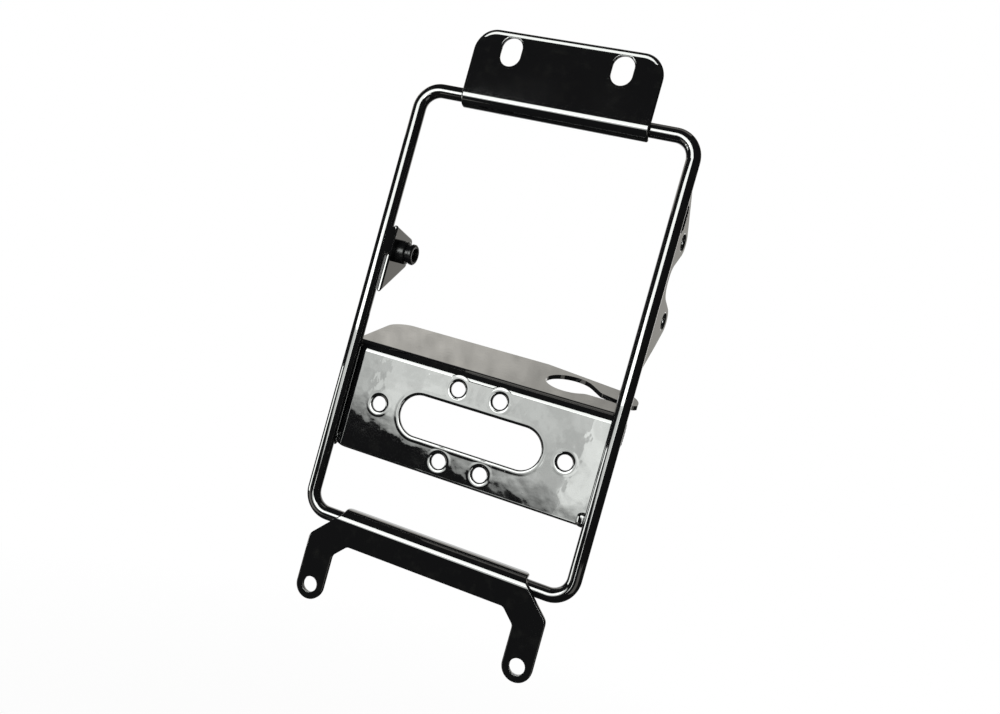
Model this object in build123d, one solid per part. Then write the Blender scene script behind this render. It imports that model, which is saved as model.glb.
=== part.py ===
from build123d import *
import os
from math import acos, cos, degrees, radians, sin, sqrt, tan

# A welded headlight mounting bracket: a bent bar loop carrying three folded sheets and two ears.
# Millimetres. X runs to the bracket's right as seen from the front, Y to its back and Z up.
# The origin is midway between the two leg holes, on the rear face of the lower yoke, where it is bolted.

# Bar loop
ROD_DIAMETER = 6.0
LOOP_WIDTH = 119.5            # between the centre lines of the side bars
LOOP_HEIGHT = 188.5           # between the centre lines of the upper and lower bars
LOOP_CORNER_RADIUS = 9.0      # of the bar's centre line
FIT = 0.05                    # gap left between pieces that lie against each other

# Lower yoke, the folded sheet with the two legs
YOKE_SHEET = 2.0
LEG_SPACING = 95.4            # between the leg holes
LEG_WIDTH = 12.8
LEG_HOLE_DIAMETER = 6.6
LEG_DROP = 30.0               # leg holes below the lower bar's centre
YOKE_FOLD_WIDTH = 83.5        # width of the fold over the bar
SHOULDER_RISE = 3.0           # where the sloping shoulders leave the fold, above the bar's centre
WEB_DROP = 9.6                # lower edge of the web below the bar's centre
WEB_CHAMFER = 5.6             # slope between the web's lower edge and a leg
YOKE_LIP = 2.4                # flat run of the fold past the top of the bar
SHOULDER_RADIUS = 4.0         # outer corners of the shoulders
WEB_CORNER_RADIUS = 2.5       # corners between the legs and the web
YOKE_LIP_CORNER = 2.0

# Upper tab, the folded sheet with the two slots
TAB_SHEET = 2.0
TAB_WIDTH = 81.2
TAB_RISE = 28.2               # top edge above the upper bar's centre
TAB_CORNER_RADIUS = 9.5
TAB_LIP = 1.0                 # flat run of the fold past the bottom of the bar
SLOT_SPACING = 47.8
SLOT_WIDTH = 8.8
SLOT_HEIGHT = 12.0
SLOT_RISE = 19.8              # slot centres above the upper bar's centre

# Cross plate, the folded sheet behind the side bars
PLATE_SHEET = 2.0
PLATE_WIDTH = 123.2
PLATE_LIFT = 28.9             # lower edge above the lower bar's centre
PLATE_HEIGHT = 46.7           # lower edge to the outside corner of the fold
PLATE_CORNER_RADIUS = 8.5
PLATE_FOLD_RADIUS = 5.0       # outside of the fold
WINDOW_LENGTH = 64.4
WINDOW_HEIGHT = 17.8
WINDOW_LIFT = 22.7            # window centre above the plate's lower edge
PLATE_HOLE_DIAMETER = 6.4
END_HOLE_SPACING = 85.4
INNER_HOLE_SPACING = 19.0     # the four inner holes, side to side
INNER_HOLE_PITCH = 31.6       # the four inner holes, up and down

# Shelf of the cross plate, measured back from the outside corner of the fold
SHELF_RISE = 17.4             # degrees above the plate's normal
SHELF_LENGTH = 40.1
SHELF_CORNER_RADIUS = 9.5
CABLE_HOLE_DIAMETER = 21.6
CABLE_HOLE_INSET = 30.5       # hole centre from the outside of the hook arm
CABLE_HOLE_BACK = 21.9
TAPER_RUN = 46.0              # width over which the back edge slopes forward to the arm's outside
TAPER_ANGLE = 13.0            # degrees
ARM_OVERHANG = 0.9            # outside of the hook arm, beyond the plate's right end
ELBOW_RADIUS = 12.2           # where the sloping back edge turns into the outside of the arm
SLIT_FRONT = 14.9             # front edge of the slit between the cable hole and the right edge
SLIT_CORNER_RADIUS = 4.0      # where that edge meets the cable hole
SLIT_MOUTH = 0.6              # width of the slit at the arm's tip, before both its sides are rounded
ARM_TIP_RADIUS = 2.8
STRIP_CORNER_RADIUS = 12.0    # right end of the strip in front of the slit
KINK_RUN = 14.1               # where the arm's inner edge begins, right of the cable hole's centre
KINK_DROP = 0.3               # and in front of that centre
KINK_RADIUS = 3.0

# Ears on the side bars, measured back from the bar's centre and up from the middle of the loop
EAR_SHEET = 2.0
PIVOT_RISE = 23.8             # the left boss and the lower right hole are level
BOSS_BACK = 8.5
LEFT_EAR_LENGTH = 19.4
LEFT_EAR_TOP = 33.9
LEFT_EAR_BOTTOM = 3.8
LEFT_EAR_END_TOP = 31.3
LEFT_EAR_END_BOTTOM = 18.4
LEFT_EAR_CORNER = 2.5
RIGHT_EAR_SPLAY = 6.0         # degrees outward
RIGHT_EAR_TOP = 84.0
RIGHT_EAR_BOTTOM = -3.5
LOWER_HOLE_BACK = 23.0
UPPER_HOLE_BACK = 18.5
UPPER_HOLE_RISE = 56.8
EAR_HOLE_DIAMETER = 6.4
LOBE_RADIUS = 6.8
WAIST_BACK = 12.3
WAIST_RISE = 36.6
WAIST_RADIUS = 6.5

# Threaded boss on the left ear
COLLAR_DIAMETER = 10.2
COLLAR_LENGTH = 4.0
NECK_DIAMETER = 7.8
NECK_LENGTH = 1.4
HEAD_DIAMETER = 9.2
HEAD_LENGTH = 2.0
SPIGOT_DIAMETER = 7.6         # the part that sits in the ear
BORE_DIAMETER = 5.0           # drilled for an M6 thread
BOSS_CHAMFER = 0.5
MOUTH_CHAMFER = 0.7           # where the bore opens

# Weld beads
BEAD_RADIUS = 1.5
CORNER_BEAD_RADIUS = 2.2      # the beads inside the plate's lower corners
BEAD_LENGTH = 13.0
SHORT_BEAD_LENGTH = 6.5
BEAD_TAPER = 0.9              # slope at each end of a bead
BEAD_BURIAL = 0.5             # how far a bead's centre line stands off the corner that it fills
LIP_BEAD_SPACING = 46.0       # the two beads behind each cross bar

# Places that several pieces share
ROD_RADIUS = ROD_DIAMETER / 2
SEAT_RADIUS = ROD_RADIUS + FIT
ROD_Y = SEAT_RADIUS
LOWER_Z = LEG_DROP
UPPER_Z = LOWER_Z + LOOP_HEIGHT
MIDDLE_Z = LOWER_Z + LOOP_HEIGHT / 2
PLATE_Y = ROD_Y + SEAT_RADIUS
PLATE_BOTTOM = LOWER_Z + PLATE_LIFT
FOLD_Z = PLATE_BOTTOM + PLATE_HEIGHT
WINDOW_Z = PLATE_BOTTOM + WINDOW_LIFT
ARM_REACH = PLATE_WIDTH / 2 + ARM_OVERHANG
THROUGH = 4 * ROD_DIAMETER    # reach of a cut that goes right through a sheet
LEFT, RIGHT = -1, 1


def folded_sheet(edge, corner, tail, sheet, outer_radius, width):
    """A sheet folded once along X. The points are (Y, Z) on its outer face, and corner is its sharp fold."""
    edge, corner, tail = Vector(*edge), Vector(*corner), Vector(*tail)
    up = (edge - corner).normalized()
    back = (tail - corner).normalized()
    turn = radians(up.get_angle(back))
    inner_points = (
        edge + (back - up * cos(turn)).normalized() * sheet,
        corner + (up + back) * (sheet / sin(turn)),
        tail + (up - back * cos(turn)).normalized() * sheet,
    )
    outer = FilletPolyline(edge, corner, tail, radius=outer_radius)
    inner = FilletPolyline(*inner_points, radius=outer_radius - sheet)
    ends = [Line(edge, inner_points[0]), Line(tail, inner_points[2])]
    section = make_face(outer.edges() + inner.edges() + ends)
    return extrude(Plane.YZ * section, amount=width / 2, both=True)


def pattern(sketch, across, up=0, rows=1):
    """Two columns of a sketch about the origin, in one or more rows."""
    return Sketch() + GridLocations(across, up, 2, rows) * sketch


def through_front(sketch, y=0):
    """A sketch in X and Z, reaching through along Y about the given depth."""
    return extrude(Plane.XZ.offset(-y) * sketch, amount=THROUGH / 2, both=True)


def round_at(sketch, point, radius):
    """The sketch with its corner nearest to a point rounded."""
    return fillet(sketch.vertices().sort_by_distance((*point, 0))[0], radius)


def make_rod_loop():
    half_width = LOOP_WIDTH / 2
    right_half = FilletPolyline(
        (0, LOWER_Z), (half_width, LOWER_Z), (half_width, UPPER_Z), (0, UPPER_Z), radius=LOOP_CORNER_RADIUS
    )
    path = Plane.XZ.offset(-ROD_Y) * right_half
    section = Plane(path @ 0, z_dir=path % 0) * Circle(ROD_RADIUS)
    right = sweep(section, path=path)
    return right + mirror(right, about=Plane.YZ)


def make_upper_tab():
    top = UPPER_Z + TAB_RISE
    outer_radius = SEAT_RADIUS + TAB_SHEET
    fold = UPPER_Z - outer_radius
    lip = (ROD_Y + TAB_LIP, fold)
    sheet = folded_sheet((-TAB_SHEET, top), (-TAB_SHEET, fold), lip, TAB_SHEET, outer_radius, TAB_WIDTH)
    top_corners = sheet.edges().filter_by(Axis.Y).group_by(Axis.Z)[-1]
    sheet = fillet(top_corners, TAB_CORNER_RADIUS)
    slots = pattern(SlotOverall(SLOT_HEIGHT, SLOT_WIDTH, rotation=90), SLOT_SPACING)
    return sheet - through_front(Pos(0, UPPER_Z + SLOT_RISE) * slots)


def yoke_outline():
    """The yoke seen from the front: fold, shoulders, legs with round ends and the web between them."""
    fold = YOKE_FOLD_WIDTH / 2
    outer = (LEG_SPACING + LEG_WIDTH) / 2
    inner = (LEG_SPACING - LEG_WIDTH) / 2
    top = LOWER_Z + THROUGH
    shoulder = LOWER_Z + SHOULDER_RISE
    web = LOWER_Z - WEB_DROP
    shoulder_end = (outer, shoulder - (outer - fold))
    leg_top = (inner, web - WEB_CHAMFER)
    web_end = (inner - WEB_CHAMFER, web)
    outside = Polyline((0, top), (fold, top), (fold, shoulder), shoulder_end, (outer, 0))
    leg_end = ThreePointArc((outer, 0), (LEG_SPACING / 2, -LEG_WIDTH / 2), (inner, 0))
    inside = Polyline((inner, 0), leg_top, web_end, (0, web), (0, top))
    half = make_face(outside.edges() + leg_end.edges() + inside.edges())
    half = round_at(half, shoulder_end, SHOULDER_RADIUS)
    half = round_at(half, leg_top, WEB_CORNER_RADIUS)
    half = round_at(half, web_end, WEB_CORNER_RADIUS)
    return half + mirror(half, about=Plane.YZ)


def make_lower_yoke():
    outer_radius = SEAT_RADIUS + YOKE_SHEET
    fold = LOWER_Z + outer_radius
    leg_tip = (-YOKE_SHEET, -LEG_WIDTH)
    lip = (ROD_Y + YOKE_LIP, fold)
    widest = LEG_SPACING + 2 * LEG_WIDTH
    sheet = folded_sheet(leg_tip, (-YOKE_SHEET, fold), lip, YOKE_SHEET, outer_radius, widest)
    sheet &= through_front(yoke_outline())
    lip_corners = sheet.edges().filter_by(Axis.Z).group_by(Axis.Y)[-1]
    sheet = fillet(lip_corners, YOKE_LIP_CORNER)
    return sheet - through_front(pattern(Circle(LEG_HOLE_DIAMETER / 2), LEG_SPACING))


def shelf_outline():
    """The shelf from above, X to the right and Y back from the fold: cable hole, slit and hook arm."""
    side = PLATE_WIDTH / 2
    back_left = (-side, SHELF_LENGTH)
    taper_start = (ARM_REACH - TAPER_RUN, SHELF_LENGTH)
    elbow = (ARM_REACH, SHELF_LENGTH - TAPER_RUN * tan(radians(TAPER_ANGLE)))
    arm_tip = (ARM_REACH, SLIT_FRONT + SLIT_MOUTH)
    in_slit = SLIT_FRONT + SLIT_MOUTH / 2
    right_edge = [elbow, (ARM_REACH, in_slit), (side, in_slit), (side, -THROUGH)]
    sheet = make_face(
        Polyline((-side, -THROUGH), back_left, taper_start, *right_edge, close=True)
    )

    hole_radius = CABLE_HOLE_DIAMETER / 2
    hole_centre = Vector(ARM_REACH - CABLE_HOLE_INSET, CABLE_HOLE_BACK)
    kink = hole_centre + Vector(KINK_RUN, -KINK_DROP)
    towards_kink = (kink - hole_centre).normalized() * hole_radius
    tangent_turn = degrees(acos(hole_radius / (kink - hole_centre).length))
    tangent = hole_centre + towards_kink.rotate(Axis.Z, tangent_turn)
    mouth_front = (ARM_REACH + THROUGH, SLIT_FRONT)
    mouth_back = (ARM_REACH + THROUGH, SLIT_FRONT + SLIT_MOUTH)
    slit_start = (hole_centre.X, SLIT_FRONT)
    slit = make_face(Polyline(slit_start, mouth_front, mouth_back, arm_tip, kink, tangent, hole_centre, close=True))
    outline = sheet - slit - Pos(hole_centre) * Circle(hole_radius)
    slit_corner = (hole_centre.X + sqrt(hole_radius**2 - (CABLE_HOLE_BACK - SLIT_FRONT) ** 2), SLIT_FRONT)

    corners = [
        (back_left, SHELF_CORNER_RADIUS),
        (elbow, ELBOW_RADIUS),
        (arm_tip, ARM_TIP_RADIUS),
        ((side, SLIT_FRONT), STRIP_CORNER_RADIUS),
        ((kink.X, kink.Y), KINK_RADIUS),
        (slit_corner, SLIT_CORNER_RADIUS),
    ]
    for point, radius in corners:
        outline = round_at(outline, point, radius)
    return outline


def make_cross_plate():
    rise = radians(SHELF_RISE)
    fold = (PLATE_Y, FOLD_Z)
    back_edge = (PLATE_Y + 2 * SHELF_LENGTH * cos(rise), FOLD_Z + 2 * SHELF_LENGTH * sin(rise))
    widest = 2 * PLATE_WIDTH
    sheet = folded_sheet((PLATE_Y, PLATE_BOTTOM), fold, back_edge, PLATE_SHEET, PLATE_FOLD_RADIUS, widest)
    shelf_top = Plane((0, *fold), x_dir=(1, 0, 0), z_dir=(0, -sin(rise), cos(rise)))
    sheet &= extrude(shelf_top * shelf_outline(), amount=2 * PLATE_HEIGHT, both=True)
    face_corners = sheet.edges().filter_by(Axis.Y).group_by(Axis.Z)[0]
    sheet = fillet(face_corners, PLATE_CORNER_RADIUS)
    hole = Circle(PLATE_HOLE_DIAMETER / 2)
    openings = (
        SlotOverall(WINDOW_LENGTH, WINDOW_HEIGHT)
        + pattern(hole, END_HOLE_SPACING)
        + pattern(hole, INNER_HOLE_SPACING, INNER_HOLE_PITCH, 2)
    )
    return sheet - through_front(Pos(0, WINDOW_Z) * openings, PLATE_Y)


def left_ear_plane():
    """The middle of the left ear, flat against the inside of its bar: X runs back and Y up."""
    x = SEAT_RADIUS + EAR_SHEET / 2 - LOOP_WIDTH / 2
    return Plane((x, ROD_Y, MIDDLE_Z), x_dir=(0, 1, 0), z_dir=(1, 0, 0))


def right_ear_plane():
    """The middle of the right ear, which stands splayed on the back of its bar: X runs back and Y up."""
    splay = radians(RIGHT_EAR_SPLAY)
    origin = (LOOP_WIDTH / 2, ROD_Y, MIDDLE_Z)
    return Plane(origin, x_dir=(sin(splay), cos(splay), 0), z_dir=(cos(splay), -sin(splay), 0))


def make_left_ear():
    end_top = (LEFT_EAR_LENGTH, LEFT_EAR_END_TOP)
    end_bottom = (LEFT_EAR_LENGTH, LEFT_EAR_END_BOTTOM)
    front = [(0, LEFT_EAR_BOTTOM), (0, LEFT_EAR_TOP)]
    outline = make_face(Polyline(*front, end_top, end_bottom, close=True))
    outline = round_at(outline, end_top, LEFT_EAR_CORNER)
    outline = round_at(outline, end_bottom, LEFT_EAR_CORNER)
    outline -= Pos(BOSS_BACK, PIVOT_RISE) * Circle(SPIGOT_DIAMETER / 2 + FIT)
    return extrude(left_ear_plane() * outline, amount=EAR_SHEET / 2, both=True)


def make_left_boss():
    """A turned boss: spigot in the ear, collar against its inner face, neck and head, bored through."""
    bore = BORE_DIAMETER / 2
    head = HEAD_DIAMETER / 2
    seat = EAR_SHEET / 2 + FIT
    collar_end = seat + COLLAR_LENGTH
    neck_end = collar_end + NECK_LENGTH
    head_end = neck_end + HEAD_LENGTH
    profile = make_face(
        Polyline(
            (bore, -EAR_SHEET / 2),
            (SPIGOT_DIAMETER / 2, -EAR_SHEET / 2),
            (SPIGOT_DIAMETER / 2, seat),
            (COLLAR_DIAMETER / 2, seat),
            (COLLAR_DIAMETER / 2, collar_end - BOSS_CHAMFER),
            (COLLAR_DIAMETER / 2 - BOSS_CHAMFER, collar_end),
            (NECK_DIAMETER / 2, collar_end),
            (NECK_DIAMETER / 2, neck_end),
            (head, neck_end + BOSS_CHAMFER),
            (head, head_end - BOSS_CHAMFER),
            (head - BOSS_CHAMFER, head_end),
            (bore + MOUTH_CHAMFER, head_end),
            (bore, head_end - MOUTH_CHAMFER),
            close=True,
        )
    )
    boss = revolve(Plane.XZ * profile, Axis.Z)
    return left_ear_plane().location * Pos(BOSS_BACK, PIVOT_RISE) * boss


def make_right_ear():
    upper = Pos(UPPER_HOLE_BACK, UPPER_HOLE_RISE)
    lower = Pos(LOWER_HOLE_BACK, PIVOT_RISE)
    root_top = (SEAT_RADIUS, RIGHT_EAR_TOP)
    root_waist = (SEAT_RADIUS, WAIST_RISE)
    root_bottom = (SEAT_RADIUS, RIGHT_EAR_BOTTOM)
    upper_lobe = make_hull((upper * Circle(LOBE_RADIUS)).edges() + Line(root_top, root_waist).edges())
    lower_lobe = make_hull((lower * Circle(LOBE_RADIUS)).edges() + Line(root_waist, root_bottom).edges())
    waist_width = WAIST_BACK - SEAT_RADIUS
    waist = Rectangle(waist_width, UPPER_HOLE_RISE - PIVOT_RISE, align=(Align.MIN, Align.MIN))
    outline = upper_lobe + lower_lobe + Pos(SEAT_RADIUS, PIVOT_RISE) * waist
    waist_corners = outline.vertices().filter_by_position(Axis.X, WAIST_BACK - FIT, WAIST_BACK + FIT)
    outline = fillet(waist_corners, WAIST_RADIUS)
    for place in (upper, lower):
        outline -= place * Circle(EAR_HOLE_DIAMETER / 2)
    return extrude(right_ear_plane() * outline, amount=EAR_SHEET / 2, both=True)


def bead(start, end, neighbours, radius=BEAD_RADIUS):
    """A weld bead with tapered ends between two points, trimmed to the pieces that it joins."""
    run = Vector(*end) - Vector(*start)
    solid = extrude(Plane(start, z_dir=run) * Circle(radius), amount=run.length)
    solid = chamfer(solid.edges().filter_by(GeomType.CIRCLE), BEAD_TAPER)
    for neighbour in neighbours:
        solid -= neighbour
    return solid


def ear_bead(plane, back, right, top, neighbours):
    """A bead down the corner between an ear and its bar, placed in the ear's middle plane."""
    start = plane.from_local_coords((back, top, right))
    end = plane.from_local_coords((back, top - BEAD_LENGTH, right))
    return bead(start, end, neighbours)


def left_ear_bead(loop, ear):
    """Over the ear's front edge, from just under its top, and not into the narrow gap behind that edge."""
    right = BEAD_BURIAL - EAR_SHEET / 2
    top = LEFT_EAR_TOP - BEAD_TAPER
    behind_edge = Pos(-EAR_SHEET / 2, 0, 0) * ear
    return ear_bead(left_ear_plane(), -BEAD_BURIAL, right, top, [loop, ear, behind_edge])


def right_ear_bead(loop, ear):
    """On the ear's outer face, above the upper hole."""
    back = SEAT_RADIUS + BEAD_BURIAL
    right = EAR_SHEET / 2 + BEAD_BURIAL
    return ear_bead(right_ear_plane(), back, right, UPPER_HOLE_RISE + BEAD_LENGTH, [loop, ear])


def lip_beads(z, y, neighbours):
    """Two beads along the edge of a lip, behind a cross bar."""
    half = BEAD_LENGTH / 2
    places = [-LIP_BEAD_SPACING / 2, LIP_BEAD_SPACING / 2]
    return Compound(children=[bead((x - half, y, z), (x + half, y, z), neighbours) for x in places])


def plate_beads(neighbours):
    """Beads in the corners between the side bars and the cross plate: outside at the top, inside below."""
    y = PLATE_Y - BEAD_BURIAL
    outside = LOOP_WIDTH / 2 + SEAT_RADIUS / 2
    inside = LOOP_WIDTH / 2 - SEAT_RADIUS
    runs = [
        (outside, FOLD_Z - BEAD_LENGTH, BEAD_LENGTH, BEAD_RADIUS),
        (inside, PLATE_BOTTOM, SHORT_BEAD_LENGTH, CORNER_BEAD_RADIUS),
    ]
    beads = [
        bead((side * x, y, bottom), (side * x, y, bottom + length), neighbours, radius)
        for side in (LEFT, RIGHT)
        for x, bottom, length, radius in runs
    ]
    return Compound(children=beads)


def main():
    loop = make_rod_loop()
    tab = make_upper_tab()
    yoke = make_lower_yoke()
    plate = make_cross_plate()
    left_ear = make_left_ear()
    right_ear = make_right_ear()
    pieces = {
        "rod_loop": loop,
        "upper_tab": tab,
        "lower_yoke": yoke,
        "cross_plate": plate,
        "left_ear": left_ear,
        "left_boss": make_left_boss(),
        "right_ear": right_ear,
        "weld_left_ear": left_ear_bead(loop, left_ear),
        "weld_right_ear": right_ear_bead(loop, right_ear),
        "weld_upper_tab": lip_beads(UPPER_Z - SEAT_RADIUS, ROD_Y + TAB_LIP + BEAD_BURIAL, [loop, tab]),
        "weld_lower_yoke": lip_beads(LOWER_Z + SEAT_RADIUS, ROD_Y + YOKE_LIP + BEAD_BURIAL, [loop, yoke]),
        "weld_cross_plate": plate_beads([loop, plate]),
    }
    os.makedirs("parts", exist_ok=True)
    for name, piece in pieces.items():
        export_step(piece, f"parts/{name}.step")


main()
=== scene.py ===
from math import cos, pi, radians, sin

import bmesh
import bpy
from mathutils import Matrix, Vector


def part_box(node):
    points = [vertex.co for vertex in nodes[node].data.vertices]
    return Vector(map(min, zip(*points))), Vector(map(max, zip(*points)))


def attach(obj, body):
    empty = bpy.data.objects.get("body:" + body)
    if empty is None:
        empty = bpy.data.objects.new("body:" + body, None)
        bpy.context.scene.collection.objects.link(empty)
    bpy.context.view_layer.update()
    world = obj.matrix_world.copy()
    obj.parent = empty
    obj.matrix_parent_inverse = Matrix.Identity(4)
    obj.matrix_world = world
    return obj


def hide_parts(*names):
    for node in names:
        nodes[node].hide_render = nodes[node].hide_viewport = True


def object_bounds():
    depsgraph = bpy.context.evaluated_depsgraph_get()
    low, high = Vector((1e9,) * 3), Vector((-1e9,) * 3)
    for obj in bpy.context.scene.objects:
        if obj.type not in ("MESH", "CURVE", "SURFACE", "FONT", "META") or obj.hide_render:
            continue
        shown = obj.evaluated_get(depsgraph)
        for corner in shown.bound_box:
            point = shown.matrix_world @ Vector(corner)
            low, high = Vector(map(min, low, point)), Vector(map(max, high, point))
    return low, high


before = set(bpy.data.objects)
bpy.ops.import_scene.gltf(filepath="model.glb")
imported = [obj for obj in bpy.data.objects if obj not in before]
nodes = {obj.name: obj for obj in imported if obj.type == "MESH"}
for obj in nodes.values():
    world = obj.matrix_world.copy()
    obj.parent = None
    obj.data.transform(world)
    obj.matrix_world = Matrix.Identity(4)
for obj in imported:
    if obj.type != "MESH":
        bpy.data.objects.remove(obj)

# A gloss-black headlight bracket on white. Metres, in the frame of the part: X to its right seen from
# the front, Y to its back, Z up.

MM = 0.001
IMAGE_WIDTH, IMAGE_HEIGHT = 1000, 714   # pixels

# Camera: focal length in pixels, and the view turned to the right, tilted down and rolled
FOCAL_PIXELS = 815.56
SENSOR = 36.0                   # width in millimetres
CAMERA_PLACE = Vector((101.597, -318.751, 121.401)) * MM
VIEW_YAW = radians(16.635)
VIEW_PITCH = radians(1.012)
VIEW_ROLL = radians(15.589)

# Bar loop
LOOP_CORNER_RADIUS = 9.0 * MM   # of the bar's middle
BAR_SIDES = 48
BEND_STEPS = 16
WRINKLED_STEPS = 90             # in the bend that is creased on its inside
WRINKLE_PITCH = radians(7.5)
WRINKLE_SPREAD = radians(14)
WRINKLE_DEPTH = 0.10 * MM

# Rounded edges of the sheets
EDGE_RADIUS = 0.92 * MM
YOKE_EDGE_RADIUS = 0.6 * MM
EDGE_STEPS = 4
EDGE_ANGLE = radians(35)
FLAT_ANGLE = radians(0.5)       # between faces that count as one flat face
JOIN_DISTANCE = 0.002 * MM      # between points that count as one

# Rims around the holes and along the top of the tab: how far they roll over inwards and down the wall,
# and the height and width of the slight swelling outside that
TAB_RIM = {"roll": 0.9 * MM, "depth": 0.7 * MM, "swell": 0.12 * MM, "width": 2.4 * MM}
SLOT_RIM = {"roll": 0.7 * MM, "depth": 0.7 * MM, "swell": 0.015 * MM, "width": 1.6 * MM}
WINDOW_RIM = {"roll": 1.35 * MM, "depth": 0.5 * MM, "swell": 0.022 * MM, "width": 2.6 * MM}
HOLE_RIM = {"roll": 1.6 * MM, "depth": 0.55 * MM, "swell": 0.018 * MM, "width": 2.7 * MM}
FOOT_RIM = {"roll": 0.92 * MM, "depth": 0.92 * MM, "swell": 0.004 * MM, "width": 1.2 * MM}
LEG_RIM = {"roll": 0.25 * MM, "depth": 0.25 * MM, "swell": 0.004 * MM, "width": 0.9 * MM}
ROLL_STEPS = 10                 # over the rolled edge
SWELL_STEPS = 8                 # from its crest down to the face
RIM_RUN = 0.4 * MM              # how far a rim runs on past its swelling
RIM_LAP = 0.02 * MM             # how far its edges pass the faces of the sheet
LAID_BURIAL = 0.4 * MM          # how deep the outside of a laid rim reaches into the sheet
LAID_INSET = 0.5 * MM           # its inside, from the wall of the opening
LAID_SINK = 0.1 * MM            # and below the rolled edge
TAB_RIM_SINK = 0.5 * MM         # how far the tab's rim sinks into the sheet at its ends
HOLE_STEPS = 64
TAB_CORNER_STEPS = 24

# Openings of the cross plate, the tab and the legs: middle in X and Z, length and width
WINDOW = (0.0, 81.6, 64.4, 17.8)
PLATE_HOLES = [(x, 81.6 + rise, 6.4, 6.4)
               for x, rise in ((-42.7, 0), (42.7, 0), (-9.5, 15.8), (9.5, 15.8), (-9.5, -15.8), (9.5, -15.8))]
TAB_SLOTS = [(x, 238.3, 12.0, 8.8) for x in (-23.9, 23.9)]
LEG_HOLES = [(x, 0.0, 6.6, 6.6) for x in (-47.7, 47.7)]
TAB_CORNER_RADIUS = 9.5
SHEET = 2.0 * MM                # thickness
PLATE_FOOT = (53.1, 67.4, 8.5)  # middle of its corners in X and Z, and their radius
FOOT_STEPS = 14                 # in each corner, as in the CAD
FOOT_FADE = 0.4                 # the foot's rounding fades where its edge faces down by less than this
FOOT_SINK = 0.05 * MM           # and its rim then sinks in
ON_OPENING = 0.08 * MM          # how near to an opening's edge a point of the CAD plate lies on it
ON_FOOT = 0.05 * MM             # and to the foot's edge
FACE_SLACK = 0.1 * MM           # past the back of the plate's face

# Welds
RIPPLE_PITCH = 1.3 * MM
RIPPLE = 0.03                   # of the bead's radius
RIPPLE_STEPS = 8                # in one pitch
RIPPLE_BOW = 0.22               # how far a ripple bows around the bead, in pitches
RIPPLE_DRIFT = 0.15             # how far the ripples stray from their places, in pitches
BEAD_TIP = 0.02                 # a bead's ends, as a share of its section
BEAD_SIDES = 24
BEAD_LENGTH = 13.0 * MM
BEAD_RADIUS = 1.5 * MM
RIGHT_EAR_BEAD_RADIUS = 1.6 * MM
LEFT_EAR_BEAD = (-56.76, 2.23, 2.7, 0.7)   # middle in X and Y, half width and half height
LEFT_EAR_BEAD_ACROSS = Vector((0.78, 0.626, 0))
PLATE_BEADS_Y = 5.6 * MM
CORNER_BEAD_LENGTH = 6.0 * MM
PLATE_BEADS = [(-61.3, -57.6, 1.2, 0.7),   # outside bead and corner bead in X, half width and half height
               (61.3, 55.9, 2.6, 1.7)]     # of the corner bead

# Boss on the left ear, in millimetres: distance from its outer end and radius, along the outside and
# into the mouth
BOSS_PROFILE = [(0.0, 3.8), (2.05, 3.8), (2.05, 5.1), (5.55, 5.1), (6.05, 4.6), (6.05, 3.9), (7.45, 3.9),
                (7.95, 4.6), (8.95, 4.6), (9.45, 4.1), (9.45, 3.2)]
BOSS_SIDES = 48
BOSS_EDGE_RADIUS = 0.2 * MM
BOSS_EDGE_STEPS = 2
BOSS_EDGE_ANGLE = radians(40)
MOUTH_DEPTH = 0.5
THREAD_CREST = 2.5
THREAD_DEPTH = 0.5
THREAD_PITCH = 1.0
THREAD_STEPS = 10               # in one pitch

# Paint
PAINT_IOR = 1.8
BOSS_IOR = 1.45
COAT_ROUGHNESS = 0.02
CLEAN_BLACK = (0.0035, 0.0035, 0.004, 1)
DUSTY_BLACK = (0.009, 0.009, 0.0085, 1)
DUST_SCALE = 260                # features per metre, here and below
GLOSS_SCALE = 35
SPECK_SCALE = 210
SPECK_SIZE = 0.055              # of the space between specks
SPECK_HEIGHT = 0.012 * MM
CALM = (3 * MM, 0.1)            # height over which waviness dies down, and the share that stays
SHELF_FOLD = 0.1025             # height at which the plate's face turns into its shelf

# Light: the softbox stands upright, and the dim panels under it lean, lower on their right
PANEL_ROLL = radians(9)
HOT_PLACE = Vector((-0.1905, -0.631, 0.2437))
HOT_SIZE = (0.540, 0.308)
HOT_RADIANCE = 6.1
DIM_FOOT = Vector((-0.2192, -0.649, -0.0436))   # middle of the lower edge of the dim panels
DIM_HEIGHT = 0.25
DIM_FADE = 0.035                # height over which their feet fade
DIM_LEAST = 0.25                # share of their light that is left there
DIM_PANELS = [(-0.300, -0.130, 2.7), (-0.130, -0.005, 3.7), (-0.005, 0.055, 3.3), (0.055, 0.147, 2.8),
              (0.147, 0.187, 4.3), (0.187, 0.235, 3.3), (0.235, 0.285, 6.5)]   # from, to and radiance
STRIP = DIM_PANELS[-1]          # runs on below the others
STRIP_HEIGHT = 0.09
SIDE_PLACE = Vector((-1.03, -0.38, -0.145))
SIDE_SIZE = (0.40, 0.30)
SIDE_RADIANCE = 5.5
BACK_PANEL = (Vector((0.36, 0.90, 0.225)), (0.48, 0.45), 0.45)   # place, size and radiance
UPPER_BACK_PANEL = (Vector((-0.10, 0.90, 0.80)), (1.35, 0.65), 0.86)
UPPER_BACK_FADE = (0.05, 0.35, 0.6)   # from and to, left of the middle, and the share left at the right
CARDS = [((-1.10, 0.55, 0.75), (0.8, 0.6), 0.7), ((-0.55, -0.38, -0.29), (0.45, 0.35), 0.5),
         ((0.55, -0.38, -0.29), (0.45, 0.35), 0.4), ((0.0, 0.10, 1.4), (0.9, 0.7), 0.35)]
CARDS_FACE = Vector((0, 0, 0.12))
FRONT_COLOUR = (0.97, 1.0, 0.965)
BACK_COLOUR = (1.0, 0.97, 0.90)
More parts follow.
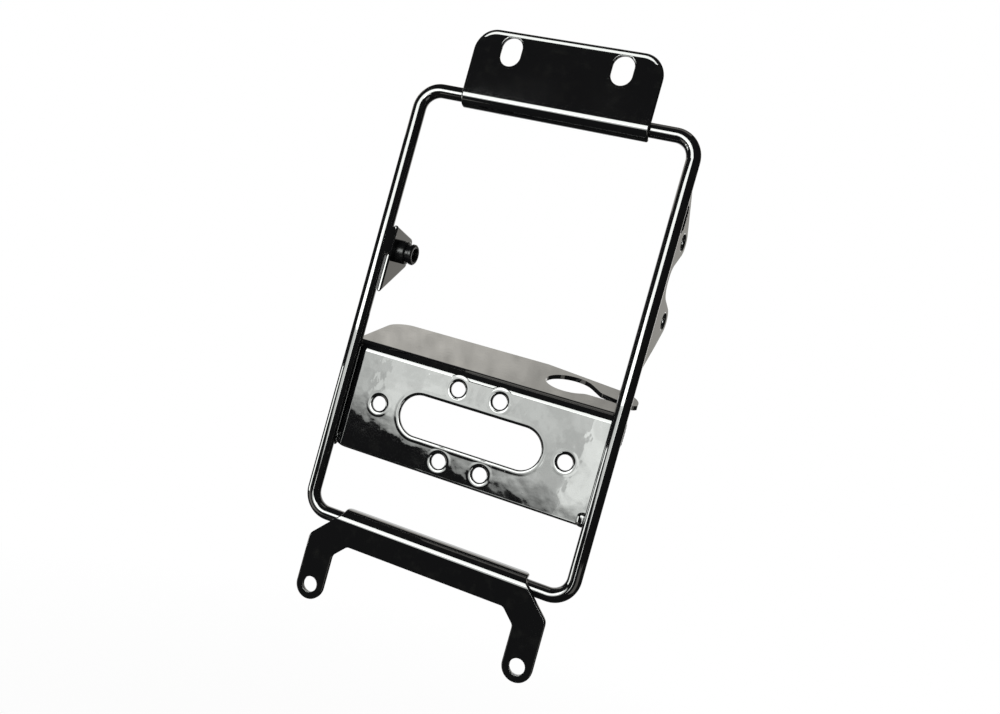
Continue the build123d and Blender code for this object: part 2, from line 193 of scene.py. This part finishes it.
CLOUD_SCALE = 30.0              # unevenness of the panels, in features per metre
CLOUD_DEPTH = 0.18

# Surroundings
AMBIENT = 0.15
DARK = 0.02
BACKDROP_FADE = 0.04            # past the edges of the image, where the white behind the part ends
FLOOR_DROP = 0.30               # floor below the part's lowest point
FLOOR_REACH = 4.0
FLOOR_COLOUR = (0.9, 0.9, 0.9, 1)
FLOOR_ROUGHNESS = 0.9
FLOOR_FADE = (0.3, 0.9)         # from the part, where the floor fades into white
FLOOR_WHITE = (0.94, 1.0)       # share of plain white before and after that

cad_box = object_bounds()


# Materials

def new_material(name):
    material = bpy.data.materials.new(name)
    material.use_nodes = True
    tree = material.node_tree
    return material, tree, tree.nodes["Principled BSDF"]


def noise(tree, scale, detail):
    """Noise on the part's own coordinates. The scale is in features per metre."""
    place = tree.nodes.new("ShaderNodeTexCoord")
    texture = tree.nodes.new("ShaderNodeTexNoise")
    texture.inputs["Scale"].default_value = scale
    texture.inputs["Detail"].default_value = detail
    tree.links.new(place.outputs["Object"], texture.inputs["Vector"])
    return texture.outputs["Fac"]


def specks(tree):
    """Scattered specks: one at each speck's middle and nought between them."""
    place = tree.nodes.new("ShaderNodeTexCoord")
    cells = tree.nodes.new("ShaderNodeTexVoronoi")
    cells.inputs["Scale"].default_value = SPECK_SCALE
    tree.links.new(place.outputs["Object"], cells.inputs["Vector"])
    return remap(tree, cells.outputs["Distance"], 0.0, SPECK_SIZE, 1.0, 0.0)


def remap(tree, value, low, high, to_low, to_high):
    node = tree.nodes.new("ShaderNodeMapRange")
    node.inputs["From Min"].default_value = low
    node.inputs["From Max"].default_value = high
    node.inputs["To Min"].default_value = to_low
    node.inputs["To Max"].default_value = to_high
    tree.links.new(value, node.inputs["Value"])
    return node.outputs["Result"]


def calculate(tree, operation, *values):
    node = tree.nodes.new("ShaderNodeMath")
    node.operation = operation
    for socket, value in zip(node.inputs, values):
        if isinstance(value, bpy.types.NodeSocket):
            tree.links.new(value, socket)
        else:
            socket.default_value = value
    return node.outputs["Value"]


def bump(tree, height, depth, below=None):
    node = tree.nodes.new("ShaderNodeBump")
    node.inputs["Strength"].default_value = 1.0
    node.inputs["Distance"].default_value = depth
    tree.links.new(height, node.inputs["Height"])
    if below:
        tree.links.new(below, node.inputs["Normal"])
    return node.outputs["Normal"]


def fade_above(tree, value, height):
    """The value below a height of the part, and little of it above."""
    run, least = CALM
    place = tree.nodes.new("ShaderNodeTexCoord")
    split = tree.nodes.new("ShaderNodeSeparateXYZ")
    tree.links.new(place.outputs["Object"], split.inputs["Vector"])
    share = remap(tree, split.outputs["Z"], height, height + run, 1.0, least)
    return calculate(tree, "MULTIPLY", value, share)


def gloss_paint(name, wave, peel, speck=0.0, calm_above=1.0, coat=1.0, rough=(0.02, 0.07), ior=PAINT_IOR):
    """Gloss black paint under a clear coat: waviness and orange peel (scale and depth), dust and specks."""
    material, tree, shader = new_material(name)
    shader.inputs["IOR"].default_value = ior
    shader.inputs["Coat Weight"].default_value = coat
    shader.inputs["Coat Roughness"].default_value = COAT_ROUGHNESS
    shader.inputs["Coat IOR"].default_value = PAINT_IOR
    dust = remap(tree, noise(tree, DUST_SCALE, detail=6), 0.55, 0.8, 0.0, 1.0)
    tint = tree.nodes.new("ShaderNodeMix")
    tint.data_type = "RGBA"
    tint.inputs["A"].default_value = CLEAN_BLACK
    tint.inputs["B"].default_value = DUSTY_BLACK
    tree.links.new(dust, tint.inputs["Factor"])
    tree.links.new(tint.outputs["Result"], shader.inputs["Base Color"])
    gloss = remap(tree, noise(tree, GLOSS_SCALE, detail=4), 0.3, 0.7, *rough)
    tree.links.new(gloss, shader.inputs["Roughness"])
    normal = bump(tree, fade_above(tree, noise(tree, wave[0], detail=1), calm_above), wave[1])
    normal = bump(tree, noise(tree, peel[0], detail=1.5), peel[1], normal)
    normal = bump(tree, specks(tree), speck, normal)
    tree.links.new(normal, shader.inputs["Normal"])
    tree.links.new(normal, shader.inputs["Coat Normal"])
    return material


# Pieces

def ring_mesh(name, bodies):
    """A smooth mesh of closed bodies. Each is a row of rings of points, joined end to end or capped."""
    points, faces = [], []
    for rings, closed in bodies:
        first, sides = len(points), len(rings[0])
        for ring in rings:
            points.extend(ring)
        for i in range(len(rings) if closed else len(rings) - 1):
            near = first + i * sides
            far = first + (i + 1) % len(rings) * sides
            for j in range(sides):
                k = (j + 1) % sides
                faces.append((near + j, near + k, far + k, far + j))
        if not closed:
            faces.append(range(first, first + sides))
            faces.append(range(len(points) - sides, len(points)))
    mesh = bpy.data.meshes.new(name)
    mesh.from_pydata(points, [], faces)
    shape = bmesh.new()
    shape.from_mesh(mesh)
    bmesh.ops.recalc_face_normals(shape, faces=shape.faces)
    shape.to_mesh(mesh)
    shape.free()
    mesh.shade_smooth()
    return mesh


def own_piece(name, mesh, material, slot, *replaced):
    piece = bpy.data.objects.new(name, mesh)
    bpy.context.scene.collection.objects.link(piece)
    paint_node(piece, material)
    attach(piece, "root")
    if replaced:
        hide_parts(*replaced)
    return piece


def paint_node(node, material):
    node.data.materials.clear()
    node.data.materials.append(material)


def even_shading(piece):
    shade = piece.modifiers.new("shading", "WEIGHTED_NORMAL")
    shade.keep_sharp = False


def bevel(piece, radius, steps, angle):
    edge = piece.modifiers.new("edges", "BEVEL")
    edge.width = radius
    edge.segments = steps
    edge.limit_method = "ANGLE"
    edge.angle_limit = angle
    return edge


def round_edges(node, radius):
    """Rounds a folded sheet's edges, which the solids leave sharp."""
    join = node.modifiers.new("joined faces", "WELD")
    join.merge_threshold = JOIN_DISTANCE
    merge = node.modifiers.new("flat faces", "DECIMATE")
    merge.decimate_type = "DISSOLVE"
    merge.angle_limit = FLAT_ANGLE
    bevel(node, radius, EDGE_STEPS, EDGE_ANGLE).use_clamp_overlap = False
    even_shading(node)
    for face in node.data.polygons:
        face.use_smooth = True


def bar_loop(material):
    """The bent bar along the middle of the CAD bar, creased on the inside of its upper right bend."""
    low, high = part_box("rod_loop")
    radius = (high.y - low.y) / 2
    y = (low.y + high.y) / 2
    inset = radius + LOOP_CORNER_RADIUS
    rings = []
    for x, z, start, steps in ((high.x - inset, low.z + inset, -pi / 2, BEND_STEPS),
                               (high.x - inset, high.z - inset, 0.0, WRINKLED_STEPS),
                               (low.x + inset, high.z - inset, pi / 2, BEND_STEPS),
                               (low.x + inset, low.z + inset, pi, BEND_STEPS)):
        for i in range(steps + 1):
            turn = i / steps * pi / 2
            outward = Vector((cos(start + turn), 0, sin(start + turn)))
            middle = Vector((x, y, z)) + outward * LOOP_CORNER_RADIUS
            off_centre = (turn - pi / 4) / WRINKLE_SPREAD
            crease = 0.0
            if steps == WRINKLED_STEPS and abs(off_centre) < 1:
                wave = 0.5 - 0.5 * cos(2 * pi * turn / WRINKLE_PITCH)
                crease = wave * (1 - off_centre**2) * WRINKLE_DEPTH
            ring = []
            for j in range(BAR_SIDES):
                angle = 2 * pi * j / BAR_SIDES
                inner = max(0.0, -cos(angle))
                reach = radius - crease * inner
                ring.append(middle + outward * (cos(angle) * reach) + Vector((0, sin(angle) * reach, 0)))
            rings.append(ring)
    own_piece("bar_loop", ring_mesh("bar_loop", [(rings, True)]), material, "black_paint", "rod_loop")


def hole_outline(x, z, length, width, upright):
    """Points on an opening's edge, with the direction from the edge into the sheet. Sizes in millimetres."""
    half = (length - width) / 2
    outline = []
    for i in range(HOLE_STEPS):
        angle = 2 * pi * (i + 0.5) / HOLE_STEPS
        away = Vector((cos(angle), 0, sin(angle)))
        along = Vector((0, 0, half)) if upright else Vector((half, 0, 0))
        end = along if away.dot(along) > 0 else -along
        outline.append((Vector((x, 0, z)) + end + away * (width / 2), away))
    return [(point * MM, away) for point, away in outline]


def rolled_edge(rim, share=1.0):
    """A cut through a rim: out from the wall, over the rolled edge to its crest and down to the face."""
    roll, depth, swell = rim["roll"], rim["depth"], rim["swell"] * share
    cut = []
    for i in range(ROLL_STEPS + 1):
        turn = pi / 2 * i / ROLL_STEPS
        cut.append((roll * (1 - cos(turn)), (depth + swell) * sin(turn) - depth))
    for i in range(1, SWELL_STEPS + 1):
        reach = roll + (rim["width"] - roll) * i / SWELL_STEPS
        cut.append((reach, swell * (0.5 + 0.5 * cos(pi * i / SWELL_STEPS))))
    cut.append((rim["width"] + RIM_RUN, -RIM_LAP))
    return cut


def laid_rim(rim, share=1.0):
    """A cut through a rim that is laid over the edge of a whole sheet."""
    inside = [(rim["width"], -LAID_BURIAL), (LAID_INSET, -rim["depth"] - LAID_SINK)]
    return rolled_edge(rim, share) + inside


def sheet_edge(rim):
    """A cut through the edge of a sheet, rolled in at the front and blunt at the back."""
    roll = rim["roll"]
    back = -SHEET
    inside = [(rim["width"], -0.5 * MM), (roll + 0.6 * MM, back / 2), (roll + 1.3 * MM, back + 0.1 * MM)]
    over_back = [(roll + 1.1 * MM, back - RIM_LAP), (0.5 * MM, back - RIM_LAP)]
    up_wall = [(0.15 * MM, back + 0.12 * MM), (0.0, back + 0.45 * MM)]
    return rolled_edge(rim) + inside + over_back + up_wall


def rim_ring(point, away, face_y, cut):
    return [Vector((point.x, face_y, point.z)) + away * s - Vector((0, h, 0)) for s, h in cut]


def rims_around(openings, face_y, cut, upright=False):
    """A rim with the given cut around each opening."""
    bodies = []
    for opening in openings:
        outline = hole_outline(*opening, upright)
        bodies.append(([rim_ring(point, away, face_y, cut) for point, away in outline], True))
    return bodies


def foot_outline():
    """Points along the plate's foot, with the direction into the sheet and the share of its rounding there."""
    x, z, radius = (value * MM for value in PLATE_FOOT)
    outline = []
    for middle, start in ((-x, pi), (x, 1.5 * pi)):
        for i in range(FOOT_STEPS + 1):
            turn = start + pi / 2 * i / FOOT_STEPS
            outward = Vector((cos(turn), 0, sin(turn)))
            share = min(1.0, -sin(turn) / FOOT_FADE)
            outline.append((Vector((middle, 0, z)) + outward * radius, -outward, share))
    return outline


def foot_rim(face_y):
    cut = sheet_edge(FOOT_RIM)
    rings = []
    for point, inward, share in foot_outline():
        rings.append(rim_ring(point + inward * ((1 - share) * FOOT_SINK), inward, face_y, cut))
    return rings, False


def rim_room(point, openings, foot):
    """How far a point on the plate's edges moves into the sheet, to leave room for a rim."""
    for (x, z, length, width), rim in openings:
        half = (length - width) / 2 * MM
        nearest = Vector((min(max(point.x, x * MM - half), x * MM + half), point.y, z * MM))
        away = point - nearest
        if abs(away.length - width / 2 * MM) < ON_OPENING:
            return away.normalized() * rim["roll"]
    for edge, inward, share in foot:
        if (Vector((point.x, 0, point.z)) - edge).length < ON_FOOT:
            return inward * (FOOT_RIM["roll"] * share)
    return Vector((0, 0, 0))


def open_plate(material):
    """The CAD plate with wider openings and a shorter foot, so that rolled rims can line them."""
    mesh = nodes["cross_plate"].data.copy()
    face_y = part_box("cross_plate")[0].y
    openings = [(WINDOW, WINDOW_RIM)] + [(hole, HOLE_RIM) for hole in PLATE_HOLES]
    foot = foot_outline()
    shape = bmesh.new()
    shape.from_mesh(mesh)
    bmesh.ops.dissolve_limit(shape, angle_limit=FLAT_ANGLE, verts=shape.verts, edges=shape.edges)
    for vert in shape.verts:
        if vert.co.y <= face_y + SHEET + FACE_SLACK:
            vert.co += rim_room(vert.co, openings, foot)
    shape.to_mesh(mesh)
    shape.free()
    for face in mesh.polygons:
        face.use_smooth = True
    even_shading(own_piece("plate", mesh, material, "black_paint", "cross_plate"))
    rims = rims_around([WINDOW], face_y, sheet_edge(WINDOW_RIM))
    rims += rims_around(PLATE_HOLES, face_y, sheet_edge(HOLE_RIM))
    rims.append(foot_rim(face_y))
    own_piece("plate_rims", ring_mesh("plate_rims", rims), material, "black_paint")


def tab_rims(material):
    """The rims of the tab's slots, and one along its top edge that fades out around the corners."""
    low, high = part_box("upper_tab")
    radius = TAB_CORNER_RADIUS * MM
    rings = []
    for x, start in ((low.x + radius, pi), (high.x - radius, pi / 2)):
        for i in range(TAB_CORNER_STEPS + 1):
            turn = start - pi / 2 * i / TAB_CORNER_STEPS
            outward = Vector((cos(turn), 0, sin(turn)))
            point = Vector((x, 0, high.z - radius)) + outward * radius
            share = sin(turn) ** 2
            sunk = (1 - share) ** 4 * TAB_RIM_SINK
            cut = laid_rim(TAB_RIM, share)
            rings.append(rim_ring(point - outward * sunk, -outward, low.y + sunk, cut))
    bodies = rims_around(TAB_SLOTS, low.y, laid_rim(SLOT_RIM), upright=True) + [(rings, False)]
    own_piece("tab_rims", ring_mesh("tab_rims", bodies), material, "black_paint")


def leg_rims(material):
    rims = rims_around(LEG_HOLES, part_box("lower_yoke")[0].y, sheet_edge(LEG_RIM))
    own_piece("leg_rims", ring_mesh("leg_rims", rims), material, "black_paint")


def bead_rings(start, end, across, reach, stand, ripple=RIPPLE):
    """A rippled weld bead between two points: its half width across and its half height."""
    along = (end - start).normalized()
    up = along.cross(across).normalized()
    length = (end - start).length
    count = int(length / (RIPPLE_PITCH / RIPPLE_STEPS))
    rings = []
    for i in range(count + 1):
        share = i / count
        swell = max(BEAD_TIP, 1 - abs(2 * share - 1) ** 4) ** 0.5
        drift = RIPPLE_DRIFT * sin(5 * share * pi)
        ring = []
        for j in range(BEAD_SIDES):
            angle = 2 * pi * j / BEAD_SIDES
            wave = share * length / RIPPLE_PITCH + RIPPLE_BOW * cos(2 * angle) + drift
            size = swell * (1 + ripple * sin(2 * pi * wave))
            offset = across * (cos(angle) * reach * size) + up * (sin(angle) * stand * size)
            ring.append(start + along * (share * length) + offset)
        rings.append(ring)
    return rings, False


def weld_beads(material):
    right, up = Vector((1, 0, 0)), Vector((0, 0, 1))

    def upright(x, y, low, high, *sizes, across=right):
        return bead_rings(Vector((x, y, low)), Vector((x, y, high)), across, *sizes)

    def own_beads(name, bodies, node):
        own_piece(name, ring_mesh(name, bodies), material, "weld_paint", node)

    low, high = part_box("weld_left_ear")
    x, y, reach, stand = (value * MM for value in LEFT_EAR_BEAD)
    body = upright(x, y, low.z, high.z, reach, stand, across=LEFT_EAR_BEAD_ACROSS)
    own_beads("left_ear_bead", [body], "weld_left_ear")

    low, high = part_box("weld_right_ear")
    middle = (low + high) / 2
    body = upright(middle.x, middle.y, low.z, high.z, RIGHT_EAR_BEAD_RADIUS, RIGHT_EAR_BEAD_RADIUS)
    own_beads("right_ear_bead", [body], "weld_right_ear")

    for node, name in (("weld_upper_tab", "upper_tab_beads"), ("weld_lower_yoke", "lower_yoke_beads")):
        low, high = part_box(node)
        middle = (low + high) / 2
        bodies = []
        for x in (low.x, high.x - BEAD_LENGTH):
            start = Vector((x, middle.y, middle.z))
            bodies.append(bead_rings(start, start + right * BEAD_LENGTH, up, BEAD_RADIUS, BEAD_RADIUS))
        own_beads(name, bodies, node)

    low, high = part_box("weld_cross_plate")
    y = PLATE_BEADS_Y
    bodies = []
    for beads in PLATE_BEADS:
        outside, inside, reach, stand = (value * MM for value in beads)
        bodies.append(upright(outside, y, high.z - BEAD_LENGTH, high.z, BEAD_RADIUS, BEAD_RADIUS))
        bodies.append(upright(inside, y, low.z, low.z + CORNER_BEAD_LENGTH, reach, stand, 0.0))
    own_beads("cross_plate_beads", bodies, "weld_cross_plate")


def threaded_boss(material):
    """The turned boss, with a thread cut along its bore."""
    low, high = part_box("left_boss")
    middle = (low + high) / 2
    length = BOSS_PROFILE[-1][0]

    def ring(x, radius):
        points = []
        for j in range(BOSS_SIDES):
            angle = 2 * pi * j / BOSS_SIDES
            r = radius(angle) * MM
            points.append(Vector((low.x + x * MM, middle.y + r * cos(angle), middle.z + r * sin(angle))))
        return points

    rings = [ring(x, lambda angle, r=r: r) for x, r in BOSS_PROFILE]
    steps = int(length / THREAD_PITCH * THREAD_STEPS)
    for i in range(steps + 1):
        x = length - MOUTH_DEPTH - (length - MOUTH_DEPTH) * i / steps

        def thread(angle, x=x):
            return THREAD_CREST + THREAD_DEPTH * (0.5 + 0.5 * cos(2 * pi * x / THREAD_PITCH - angle))

        rings.append(ring(x, thread))
    mesh = ring_mesh("threaded_boss", [(rings, True)])
    piece = own_piece("threaded_boss", mesh, material, "black_paint", "left_boss")
    bevel(piece, BOSS_EDGE_RADIUS, BOSS_EDGE_STEPS, BOSS_EDGE_ANGLE)
    even_shading(piece)


# Stage

def view_axes():
    """The camera's right, up and backward directions."""
    level_share, rise = cos(VIEW_PITCH), sin(VIEW_PITCH)
    backward = Vector((sin(VIEW_YAW) * level_share, -cos(VIEW_YAW) * level_share, rise))
    level = Vector((cos(VIEW_YAW), sin(VIEW_YAW), 0))
    across = Matrix.Rotation(VIEW_ROLL, 3, backward) @ level
    return across, backward.cross(across), backward


def place_camera():
    data = bpy.data.cameras.new("camera")
    data.sensor_fit = "HORIZONTAL"
    data.sensor_width = SENSOR
    data.lens = FOCAL_PIXELS / IMAGE_WIDTH * SENSOR
    camera = bpy.data.objects.new("camera", data)
    camera.matrix_world = Matrix.Translation(CAMERA_PLACE) @ Matrix(view_axes()).transposed().to_4x4()
    bpy.context.scene.collection.objects.link(camera)
    bpy.context.scene.camera = camera


def soft_panel(name, place, size, radiance, colour, towards, roll=0.0):
    """A rectangular softbox of the given radiance, facing along a direction."""
    data = bpy.data.lights.new(name, "AREA")
    data.shape = "RECTANGLE"
    data.size, data.size_y = size
    data.energy = radiance * pi * size[0] * size[1]
    data.color = colour
    lamp = bpy.data.objects.new(name, data)
    turn = towards.to_track_quat("-Z", "Y").to_matrix().to_4x4()
    lamp.matrix_world = Matrix.Translation(place) @ turn @ Matrix.Rotation(roll, 4, "Z")
    lamp.visible_camera = False
    bpy.context.scene.collection.objects.link(lamp)
    return lamp


def mottle(light, axis, low, high, least):
    """Cloudy brightness over a panel, as of a creased diffuser, which falls off along an axis below high."""
    light.use_nodes = True
    tree = light.node_tree
    emission = tree.nodes["Emission"]
    place = tree.nodes.new("ShaderNodeNewGeometry")
    along = tree.nodes.new("ShaderNodeVectorMath")
    along.operation = "DOT_PRODUCT"
    along.inputs[1].default_value = axis
    tree.links.new(place.outputs["Position"], along.inputs[0])
    fade = remap(tree, along.outputs["Value"], low, high, least, 1.0)
    clouds = tree.nodes.new("ShaderNodeTexNoise")
    clouds.inputs["Scale"].default_value = CLOUD_SCALE
    clouds.inputs["Detail"].default_value = 4.0
    tree.links.new(place.outputs["Position"], clouds.inputs["Vector"])
    cloudy = remap(tree, clouds.outputs["Fac"], 0.3, 0.7, 1 - CLOUD_DEPTH, 1 + CLOUD_DEPTH)
    tree.links.new(calculate(tree, "MULTIPLY", cloudy, fade), emission.inputs["Strength"])


def front_panels():
    """A bright softbox, dimmer panels of uneven brightness that show under it, and a low one at the left."""
    across = Vector((cos(PANEL_ROLL), 0, -sin(PANEL_ROLL)))
    up = Vector((sin(PANEL_ROLL), 0, cos(PANEL_ROLL)))
    into = Vector((0, 1, 0))
    low = DIM_FOOT.dot(up)
    soft_panel("softbox", HOT_PLACE, HOT_SIZE, HOT_RADIANCE, FRONT_COLOUR, into)
    for left, right, radiance in DIM_PANELS:
        place = DIM_FOOT + across * ((left + right) / 2) + up * (DIM_HEIGHT / 2)
        size = (right - left, DIM_HEIGHT)
        lamp = soft_panel("dim panel", place, size, radiance, FRONT_COLOUR, into, -PANEL_ROLL)
        mottle(lamp.data, up, low, low + DIM_FADE, DIM_LEAST)
    left, right, radiance = STRIP
    place = DIM_FOOT + across * ((left + right) / 2) - up * (STRIP_HEIGHT / 2)
    soft_panel("strip", place, (right - left, STRIP_HEIGHT), radiance, FRONT_COLOUR, into, -PANEL_ROLL)
    soft_panel("side panel", SIDE_PLACE, SIDE_SIZE, SIDE_RADIANCE, FRONT_COLOUR, -SIDE_PLACE)


def back_panels():
    """Two pale panels behind the part, which the ears and the shelf mirror."""
    left, forward = Vector((-1, 0, 0)), Vector((0, -1, 0))
    soft_panel("back panel", *BACK_PANEL, BACK_COLOUR, forward)
    upper = soft_panel("upper back panel", *UPPER_BACK_PANEL, BACK_COLOUR, forward)
    mottle(upper.data, left, *UPPER_BACK_FADE)


def cards():
    """Dim reflector cards above and below, out of the front view's reflections."""
    for place, size, radiance in CARDS:
        place = Vector(place)
        soft_panel("card", place, size, radiance, BACK_COLOUR, CARDS_FACE - place)


def surroundings():
    """White behind the part. Reflections see that white where the camera looks, and dark elsewhere."""
    world = bpy.data.worlds.new("studio")
    bpy.context.scene.world = world
    world.use_nodes = True
    tree = world.node_tree
    background = tree.nodes["Background"]
    background.inputs["Color"].default_value = (1, 1, 1, 1)
    direction = tree.nodes.new("ShaderNodeTexCoord")

    def along(axis):
        node = tree.nodes.new("ShaderNodeVectorMath")
        node.operation = "DOT_PRODUCT"
        node.inputs[1].default_value = axis
        tree.links.new(direction.outputs["Generated"], node.inputs[0])
        return node.outputs["Value"]

    across, up, backward = view_axes()
    ahead = calculate(tree, "MAXIMUM", along(-backward), 0.001)
    inside = []
    for axis, size in ((across, IMAGE_WIDTH), (up, IMAGE_HEIGHT)):
        half = size / 2 / FOCAL_PIXELS
        offset = calculate(tree, "ABSOLUTE", calculate(tree, "DIVIDE", along(axis), ahead))
        inside.append(remap(tree, offset, half, half + BACKDROP_FADE, 1.0, 0.0))
    backdrop = remap(tree, calculate(tree, "MULTIPLY", *inside), 0.0, 1.0, DARK, 1.0)
    path = tree.nodes.new("ShaderNodeLightPath")
    mirrored = calculate(tree, "MAXIMUM", path.outputs["Is Glossy Ray"], path.outputs["Is Transmission Ray"])
    light = tree.nodes.new("ShaderNodeMix")
    light.inputs["A"].default_value = AMBIENT
    tree.links.new(mirrored, light.inputs["Factor"])
    tree.links.new(backdrop, light.inputs["B"])
    seen = tree.nodes.new("ShaderNodeMix")
    seen.inputs["B"].default_value = 1.0
    tree.links.new(path.outputs["Is Camera Ray"], seen.inputs["Factor"])
    tree.links.new(light.outputs["Result"], seen.inputs["A"])
    tree.links.new(seen.outputs["Result"], background.inputs["Strength"])


def lay_floor():
    """A plain pale floor with a soft shadow under the part, fading into the white around it."""
    material, tree, shader = new_material("pale floor")
    shader.inputs["Base Color"].default_value = FLOOR_COLOUR
    shader.inputs["Roughness"].default_value = FLOOR_ROUGHNESS
    glow = tree.nodes.new("ShaderNodeEmission")
    place = tree.nodes.new("ShaderNodeTexCoord")
    distance = tree.nodes.new("ShaderNodeVectorMath")
    distance.operation = "LENGTH"
    tree.links.new(place.outputs["Object"], distance.inputs[0])
    share = remap(tree, distance.outputs["Value"], *FLOOR_FADE, *FLOOR_WHITE)
    mix = tree.nodes.new("ShaderNodeMixShader")
    tree.links.new(share, mix.inputs["Fac"])
    tree.links.new(shader.outputs["BSDF"], mix.inputs[1])
    tree.links.new(glow.outputs["Emission"], mix.inputs[2])
    tree.links.new(mix.outputs["Shader"], tree.nodes["Material Output"].inputs["Surface"])
    mesh = bpy.data.meshes.new("floor")
    corners = [(x * FLOOR_REACH, y * FLOOR_REACH, 0) for x, y in ((-1, -1), (1, -1), (1, 1), (-1, 1))]
    mesh.from_pydata(corners, [], [(0, 1, 2, 3)])
    mesh.materials.append(material)
    floor = bpy.data.objects.new("floor", mesh)
    floor.location.z = cad_box[0].z - FLOOR_DROP
    floor.visible_glossy = False
    floor.visible_diffuse = False
    bpy.context.scene.collection.objects.link(floor)


paint = gloss_paint("gloss paint", wave=(60, 0.03 * MM), peel=(420, 0.004 * MM), speck=SPECK_HEIGHT)
bar_paint = gloss_paint("gloss paint on the bar", wave=(40, 0.012 * MM), peel=(420, 0.0012 * MM))
boss_paint = gloss_paint("satin paint on the boss", wave=(300, 0.01 * MM), peel=(900, 0.01 * MM), coat=0.0,
                         rough=(0.22, 0.32), ior=BOSS_IOR)
plate_paint = gloss_paint("gloss paint, wavy", wave=(150, 0.06 * MM), peel=(420, 0.008 * MM),
                          speck=SPECK_HEIGHT, calm_above=SHELF_FOLD)
weld_paint = gloss_paint("gloss paint on welds", wave=(300, 0.03 * MM), peel=(700, 0.012 * MM))
for name, radius in (("upper_tab", EDGE_RADIUS), ("left_ear", EDGE_RADIUS), ("right_ear", EDGE_RADIUS),
                     ("lower_yoke", YOKE_EDGE_RADIUS)):
    paint_node(nodes[name], paint)
    round_edges(nodes[name], radius)
open_plate(plate_paint)
tab_rims(paint)
leg_rims(paint)
bar_loop(bar_paint)
threaded_boss(boss_paint)
weld_beads(weld_paint)

place_camera()
surroundings()
lay_floor()
front_panels()
back_panels()
cards()

bpy.context.scene.view_settings.view_transform = "Standard"
